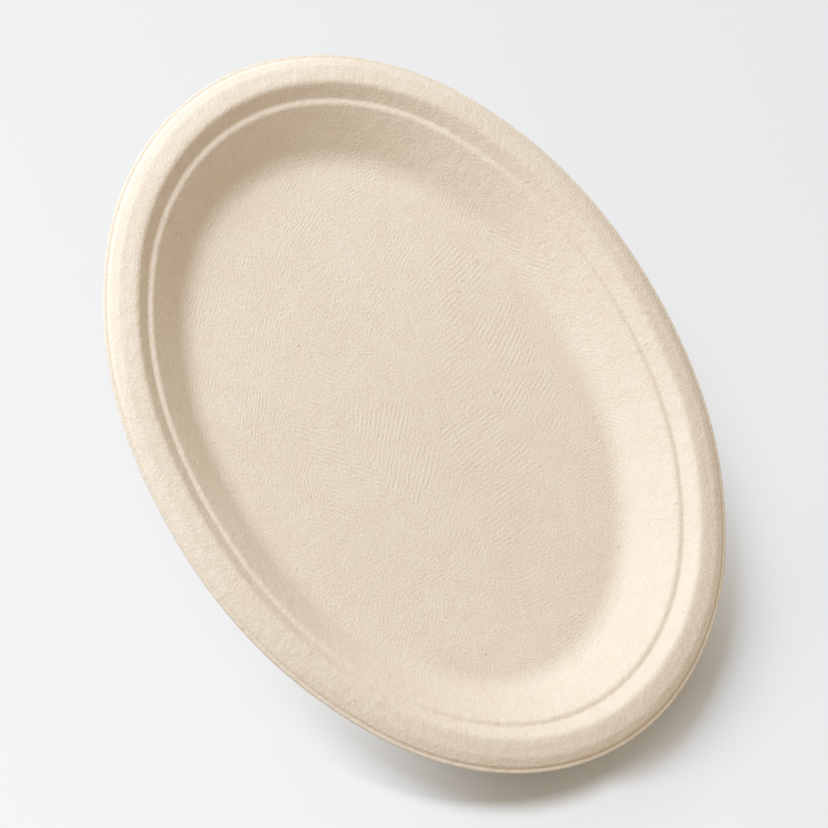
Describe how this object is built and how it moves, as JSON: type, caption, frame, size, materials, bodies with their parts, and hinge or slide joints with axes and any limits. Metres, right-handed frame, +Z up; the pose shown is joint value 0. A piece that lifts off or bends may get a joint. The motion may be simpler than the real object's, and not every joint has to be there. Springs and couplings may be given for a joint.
{
  "type": "moulded fibre oval plate",
  "caption": "Shallow oval plate pressed in one piece from plant fibre, with a trim lip, a broad bevelled rim, a narrow stepped ledge, sloping walls and a flat floor.",
  "frame": {"origin": "under the middle of the floor, at the level of the surface the plate rests on", "axes": "+Z up, +X along the plate's length, +Y across it"},
  "size_m": [0.26, 0.212, 0.0165],
  "materials": {
    "pulp": "matte, unbleached plant fibre"
  },
  "bodies": {
    "root": {"plate": "pulp"}
  },
  "joints": []
}
